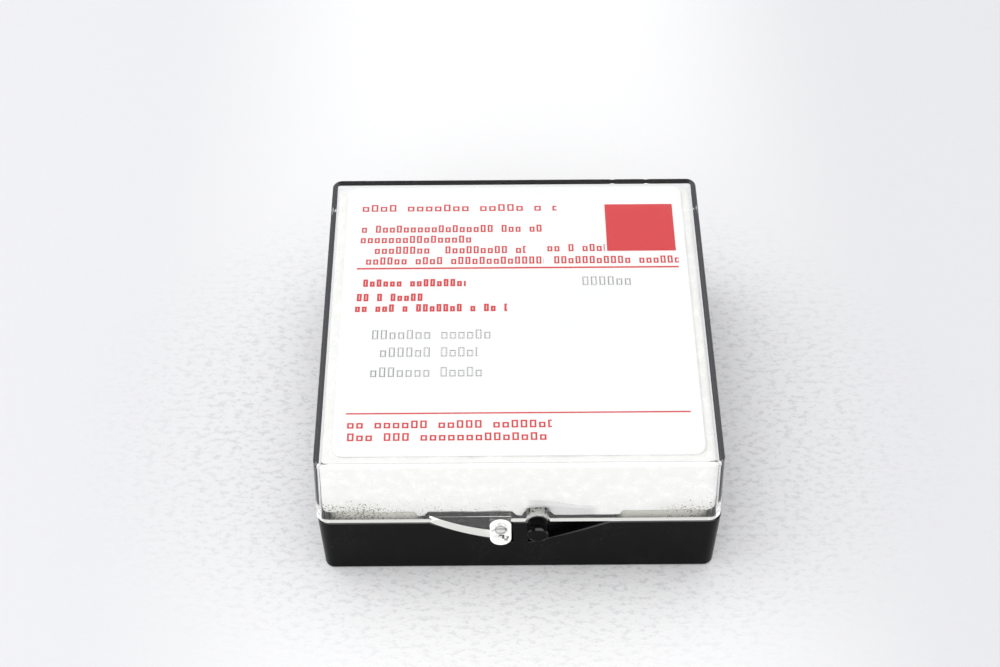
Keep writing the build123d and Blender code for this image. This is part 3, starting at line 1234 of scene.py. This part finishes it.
@dataclass
class FoamBlock:
    """Cut foam block with soft edges, given by the node that it replaces.

    The wear moves the faces by a small uneven amount. The lip is a thin layer of the front face that
    hangs below the underside in each of its spans.
    """

    node: str
    body: str
    finish: CutFoam
    edge: float = 0.7 * MM
    corner: float = 1.2 * MM
    around: int = 320
    seed: int = 1
    lean: float = 0.0
    dents: tuple[Dent, ...] = ()
    wear: float = 0.06 * MM
    wear_share: float = 0.97
    speck_height: float = 5.0 * MM
    cap_share: float = 0.04
    flat_rows: int = 18
    turn_rows: int = 6
    lip_drop: float = 0.0
    lip_spans: tuple[Pair, ...] = ()
    lip_soft: float = 0.5 * MM
    lip_depth: float = 0.62 * MM
    lip_depth_soft: float = 0.25 * MM
    lip_height: float = 4.0 * MM
    lip_height_soft: float = 3.3 * MM

    def outline(self, half_x: float, half_y: float) -> np.ndarray:
        """Rounded rectangle, evenly spaced along its length.

        A point at distance s along the plain rectangle is pulled in at the corners, where both
        coordinates come near their limits: the corner's centre plus the corner's radius along the
        direction from that centre.

        Args:
            half_x: Half the width.
            half_y: Half the depth.

        Returns:
            Array of points by 2, counterclockwise from above.
        """
        side = self.around // 4
        run = np.linspace(-1, 1, side, endpoint=False)
        one = np.ones(side)
        square = np.concatenate([np.stack([run, -one], 1), np.stack([one, run], 1),
                                 np.stack([-run, one], 1), np.stack([-one, -run], 1)])
        plain = square * (half_x, half_y)
        centre = np.clip(plain, (self.corner - half_x, self.corner - half_y),
                         (half_x - self.corner, half_y - self.corner))
        arm = plain - centre
        length = np.linalg.norm(arm, axis=1, keepdims=True)
        return centre + arm / np.maximum(length, 1e-9) * self.corner

    def profile(self, low: float, high: float, half: float) -> np.ndarray:
        """Half section from the middle of the underside to the middle of the top.

        Both edges are quarter circles of the edge's radius.

        Args:
            low: Level of the underside.
            high: Level of the top.
            half: Half the width, which the shares refer to.

        Returns:
            Array of points by 2: share of the outline and level.
        """
        flat = np.linspace(self.cap_share, 1 - self.edge / half, self.flat_rows, endpoint=False)
        turn = np.linspace(0, np.pi / 2, self.turn_rows)
        side = np.linspace(low + self.edge, high - self.edge, self.flat_rows)[1:-1]
        round_low = np.stack([1 - self.edge * (1 - np.sin(turn)) / half,
                              low + self.edge * (1 - np.cos(turn))], 1)
        round_high = round_low[::-1] * (1, -1) + (0, low + high)
        return np.concatenate([np.stack([flat, np.full_like(flat, low)], 1), round_low,
                               np.stack([np.ones_like(side), side], 1), round_high,
                               np.stack([flat[::-1], np.full_like(flat, high)], 1)])

    def shape(self, points: np.ndarray, low: Vector, high: Vector) -> np.ndarray:
        """Dents and small unevenness of the cut faces, moved towards the block's middle.

        Args:
            points: Grid of points in metres.
            low: Lowest corner of the block.
            high: Highest corner of the block.

        Returns:
            The moved points.
        """
        height = unevenness(points, self.seed)
        middle = np.array((low + high) / 2)
        half = np.array((high - low) / 2)
        reach = (points - middle) / half
        inward = -np.sign(reach) * (np.abs(reach) > self.wear_share)
        moved = points + inward * (self.wear * (1 + height))[..., None]
        for dent in self.dents:
            moved = dent.press(moved, low.y)
        return self.hang(moved, low.y - self.lean, low.z)

    def hang(self, points: np.ndarray, front: float, low: float) -> np.ndarray:
        """Lets a thin lip of the front face hang below the underside.

        The drop is full at the front face and the underside. It fades smoothly to nothing behind the
        face, above the underside and at the ends of each span.

        Args:
            points: Grid of points in metres.
            front: Y of the front face at the underside.
            low: Level of the underside.

        Returns:
            The moved points.
        """
        across = points[..., 0]
        span = np.zeros_like(across)
        for start, end in self.lip_spans:
            span += (smooth_step((across - start) / self.lip_soft)
                     * smooth_step((end - across) / self.lip_soft))
        face = smooth_step((front + self.lip_depth - points[..., 1]) / self.lip_depth_soft)
        height = smooth_step((low + self.lip_height - points[..., 2]) / self.lip_height_soft)
        moved = points.copy()
        moved[..., 2] -= self.lip_drop * span * face * height
        return moved

    def build(self, effects: Effects) -> bpy.types.Object:
        """Makes the block in the place of its node and dresses it.

        Each point of the grid is the outline times a share of the profile, at the profile's level.
        The lean widens the outline evenly from the top to the underside.

        Args:
            effects: Shared node groups.

        Returns:
            The finished piece.
        """
        low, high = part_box(self.node)
        half = (high - low) / 2
        middle = (high + low) / 2
        outline = self.outline(half.x, half.y)
        profile = self.profile(low.z, high.z, half.x)
        rings = profile[:, 0, None, None] * outline[None]
        level = np.broadcast_to(profile[:, 1, None, None], (*rings.shape[:2], 1))
        spread = 1 + self.lean * (high.z - level) / (high.z - low.z) / half.x
        points = np.concatenate([rings * spread + (middle.x, middle.y), level], axis=2)
        piece = grid_object(f"{self.node}_foam", self.shape(points, low, high), wrap_rows=False)
        material = self.finish.build(effects, low.z, low.z + self.speck_height)
        return dress_foam(piece, self.node, self.body, material)


def dress_foam(piece: bpy.types.Object, node: str, body: str,
               material: bpy.types.Material) -> bpy.types.Object:
    """Args:
        piece: Foam piece.
        node: Node that it replaces.
        body: Body that it rides on.
        material: Its material.

    Returns:
        The piece.
    """
    piece.data.materials.append(material)
    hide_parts(node)
    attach(piece, body)
    LOG.info("%s: %d faces on body %s", piece.name, len(piece.data.polygons), body)
    return piece


@dataclass
class PocketLayer:
    """Die-cut foam layer: a ring between the square outline and the filter's pocket."""

    node: str
    body: str
    finish: CutFoam
    pocket_radius: float = 13.0 * MM
    scallop_radius: float = 7.0 * MM
    scallop_offset: float = 14.5 * MM
    edge: float = 0.5 * MM
    squareness: float = 24.0
    around: int = 480
    turn_rows: int = 5
    side_rows: int = 12
    flat_rows: int = 22
    wear: float = 0.05 * MM
    wear_depth: float = 0.1 * MM
    speck_rise: Pair = (-2.0 * MM, 4.0 * MM)
    seed: int = 5
    dents: tuple[Dent, ...] = ()

    def pocket(self, angle: np.ndarray) -> np.ndarray:
        """Radius of the pocket's outline: the farthest of its three circles along each direction.

        A circle of radius r whose centre lies at distance c in direction a is left at
        c cos(angle - a) + sqrt(r squared - (c sin(angle - a)) squared).

        Args:
            angle: Directions from the pocket's middle.

        Returns:
            The radius in each direction.
        """
        lift = self.scallop_offset * np.abs(np.cos(angle))
        miss = self.scallop_offset * np.sin(angle)
        leave = self.scallop_radius ** 2 - miss ** 2
        scallop = np.where(leave > 0, lift + np.sqrt(np.maximum(leave, 0)), 0)
        return np.maximum(self.pocket_radius, scallop)

    def build(self, effects: Effects) -> bpy.types.Object:
        """Makes the layer in the place of its node and dresses it.

        Each section goes up the outer side, across the top, down into the pocket and back below.
        The outer side lies where the sum of both coordinates' shares of the half width, each raised
        to the power of the squareness, is one.

        Args:
            effects: Shared node groups.

        Returns:
            The finished piece.
        """
        low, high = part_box(self.node)
        half = (high.x - low.x) / 2
        angle = np.linspace(0, 2 * np.pi, self.around, endpoint=False)
        ray = np.stack([np.cos(angle), np.sin(angle)], 1)
        outer = half / (np.abs(ray) ** self.squareness).sum(1) ** (1 / self.squareness)
        inner = self.pocket(angle)
        turn = np.linspace(0, np.pi / 2, self.turn_rows)
        rise = np.linspace(low.z + self.edge, high.z - self.edge, self.side_rows)[1:-1]
        inset = self.edge * (1 - np.sin(turn))
        climb = low.z + self.edge * (1 - np.cos(turn))
        share = np.linspace(0, 1, self.flat_rows)[1:-1]
        side_in = np.concatenate([inset, np.zeros_like(rise), inset[::-1]])
        side_z = np.concatenate([climb, rise, (low.z + high.z - climb)[::-1]])
        out_radius = outer[None] - side_in[:, None]
        in_radius = inner[None] + side_in[::-1, None]
        top = out_radius[-1] + share[:, None] * (in_radius[0] - out_radius[-1])
        bottom = in_radius[-1] + share[:, None] * (out_radius[0] - in_radius[-1])
        radius = np.concatenate([out_radius, top, in_radius, bottom])
        level = np.concatenate([side_z, np.full(len(share), high.z),
                                side_z[::-1], np.full(len(share), low.z)])
        points = np.concatenate([radius[..., None] * ray[None],
                                 np.broadcast_to(level[:, None, None], (*radius.shape, 1))], axis=2)
        top_rows = points[..., 2] > high.z - self.wear_depth
        points[..., 2] += self.wear * unevenness(points, self.seed) * top_rows
        for dent in self.dents:
            points = dent.press(points, low.y)
        piece = grid_object(f"{self.node}_foam", points, wrap_rows=True)
        material = self.finish.build(effects, *(high.z + step for step in self.speck_rise))
        return dress_foam(piece, self.node, self.body, material)


@dataclass
class Bedding:
    """The three foam pieces that hold the filter."""

    stud_press: Pair = (1.3 * MM, 0.45 * MM)
    wall_margin: float = 0.3 * MM
    wall_soft: float = 0.5 * MM
    pad_lean: float = 0.4 * MM
    lip_drop: float = 1.1 * MM
    front_shade: float = 0.95
    lip_spans: tuple[Pair, ...] = (
        (-17.2 * MM, -15.0 * MM), (-1.0 * MM, 1.0 * MM), (5.0 * MM, 17.0 * MM))

    def build(self, effects: Effects, plan: Plan) -> list[bpy.types.Object]:
        """Makes the lid's pad, the pocket layer and the bottom pad.

        Args:
            effects: Shared node groups.
            plan: Shared places of the box.

        Returns:
            The three pieces.
        """
        pad_low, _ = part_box("lid_pad")
        layer_low, layer_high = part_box("pocket_layer")
        wall_back = plan.latch_back - plan.half
        stud_dent = Dent(plan.stud_x, pad_low.z, *self.stud_press, wall_back - pad_low.y)
        wall_dent = Dent(0.0, layer_low.z, plan.latch_reach + self.wall_margin,
                         layer_high.z - layer_low.z, wall_back - layer_low.y, self.wall_soft)
        pieces = [
            FoamBlock("lid_pad", "cover", CutFoam("lid_foam"), seed=3, lean=self.pad_lean, around=480,
                      dents=(stud_dent,), lip_drop=self.lip_drop, lip_spans=self.lip_spans),
            PocketLayer("pocket_layer", "tray", CutFoam("layer_foam", front_shade=self.front_shade),
                        dents=(wall_dent,)),
            FoamBlock("bottom_pad", "tray", CutFoam("pad_foam"), seed=9),
        ]
        return [piece.build(effects) for piece in pieces]


@dataclass
class Mouldings:
    """The tray, the lid and the card, which keep their CAD meshes."""

    def build(self, effects: Effects, plan: Plan) -> list[bpy.types.Object]:
        """Dresses the CAD nodes of the box.

        Args:
            effects: Shared node groups.
            plan: Shared places of the box.

        Returns:
            The dressed nodes.
        """
        finishes = {
            "base_tray": BlackStyrene().build(effects, plan),
            "lid": ClearStyrene().build(effects, plan),
            "label_card": PrintedCard().build(effects),
        }
        return [dress_node(name, material) for name, material in finishes.items()]


@dataclass
class MountedFilter:
    """The cell, its glass and its retaining ring."""

    def build(self, effects: Effects) -> list[bpy.types.Object]:
        """Dresses the filter's CAD nodes.

        Args:
            effects: Shared node groups.

        Returns:
            The dressed nodes.
        """
        metal = Anodised().build(effects)
        coating = FilterCoating().build(effects)
        return [dress_node("filter_cell", metal), dress_node("retaining_ring", metal),
                dress_node("filter_glass", coating)]


def dress_node(name: str, material: bpy.types.Material) -> bpy.types.Object:
    """Gives a CAD node its material.

    Args:
        name: Name of the node.
        material: Its material.

    Returns:
        The node's object.
    """
    piece = frame["nodes"][name]
    piece.data.materials.clear()
    piece.data.materials.append(material)
    LOG.info("%s: CAD mesh with %s", name, material.name)
    return piece


@dataclass(frozen=True)
class Lamp:
    """A soft box that faces the object: its place and size in metres, and its power in watts."""

    name: str
    place: tuple[float, float, float]
    size: Pair
    power: float

    def hang(self) -> None:
        """Puts the lamp into the scene, turned towards the box's origin."""
        light = bpy.data.lights.new(self.name, "AREA")
        light.shape = "RECTANGLE"
        light.size, light.size_y = self.size
        light.energy = self.power
        lamp = into_scene(self.name, light)
        lamp.location = self.place
        lamp.rotation_euler = (-Vector(self.place)).to_track_quat("-Z", "Y").to_euler()


@dataclass
class Studio:
    """Table, soft light and camera."""

    focal: float = 68.8
    distance: float = 345.0 * MM
    target: tuple[float, float, float] = (-2.90 * MM, 10.43 * MM, 10.96 * MM)
    elevation: float = 48.14
    azimuth: float = -0.27
    roll: float = -0.2
    table_half: float = 3.0
    horizon: Colour = (0.9, 0.905, 0.92, 1.0)
    zenith: Colour = (1.0, 1.0, 1.0, 1.0)
    zenith_height: float = 0.9
    sky_strength: float = 0.89
    lamps: tuple[Lamp, ...] = (
        Lamp("left_box", (-0.8, 0.1, 1.1), (0.9, 0.9), 3.2),
        Lamp("front_box", (-0.2, -1.2, 0.7), (1.2, 0.6), 3.9),
    )

    def table(self, effects: Effects) -> None:
        """Lays a large flat table under the box.

        Args:
            effects: Shared node groups.
        """
        half = self.table_half
        corners = [(-half, -half, 0), (half, -half, 0), (half, half, 0), (-half, half, 0)]
        mesh = bpy.data.meshes.new("table")
        mesh.from_pydata(corners, [], [(0, 1, 2, 3)])
        mesh.materials.append(PaleTable().build(effects))
        into_scene("table", mesh)

    def sky(self) -> None:
        """Makes an even pale sky, a little brighter overhead."""
        world = bpy.data.worlds.new("studio")
        bpy.context.scene.world = world
        world.use_nodes = True
        world.node_tree.nodes.clear()
        graph = Graph(world.node_tree)
        height = graph.axes(graph.add("ShaderNodeTexCoord").outputs["Generated"])[2]
        tone = graph.mix(graph.ramp(height, 0.0, self.zenith_height), self.horizon, self.zenith)
        back = graph.add("ShaderNodeBackground", {"Color": tone, "Strength": self.sky_strength})
        graph.add("ShaderNodeOutputWorld", {"Surface": back.outputs[0]})

    def camera(self) -> None:
        """Sets the camera at the photo's angle."""
        up_angle, turn, roll = (math.radians(x) for x in (self.elevation, self.azimuth, self.roll))
        back = Vector((math.sin(turn) * math.cos(up_angle), -math.cos(turn) * math.cos(up_angle),
                       math.sin(up_angle)))
        level = Vector((math.cos(turn), math.sin(turn), 0))
        rise = back.cross(level)
        right = math.cos(roll) * level + math.sin(roll) * rise
        up = math.cos(roll) * rise - math.sin(roll) * level
        camera = into_scene("camera", bpy.data.cameras.new("camera"))
        camera.data.lens = self.focal
        camera.data.clip_start = 0.01
        turned = Matrix((right, up, back)).transposed().to_4x4()
        camera.matrix_world = Matrix.Translation(Vector(self.target) + back * self.distance) @ turned
        bpy.context.scene.camera = camera

    def build(self, effects: Effects) -> None:
        """Makes the whole studio.

        Args:
            effects: Shared node groups.
        """
        self.table(effects)
        self.sky()
        for lamp in self.lamps:
            lamp.hang()
        self.camera()
        bpy.context.scene.view_settings.view_transform = "Standard"
        LOG.info("studio ready")


def main() -> None:
    """Builds the pieces in order."""
    logging.basicConfig(level=logging.INFO, format="%(name)s: %(message)s")
    effects = Effects()
    plan = Plan.read()
    Studio().build(effects)
    Mouldings().build(effects, plan)
    MountedFilter().build(effects)
    Bedding().build(effects, plan)


if __name__ == "__main__":
    main()
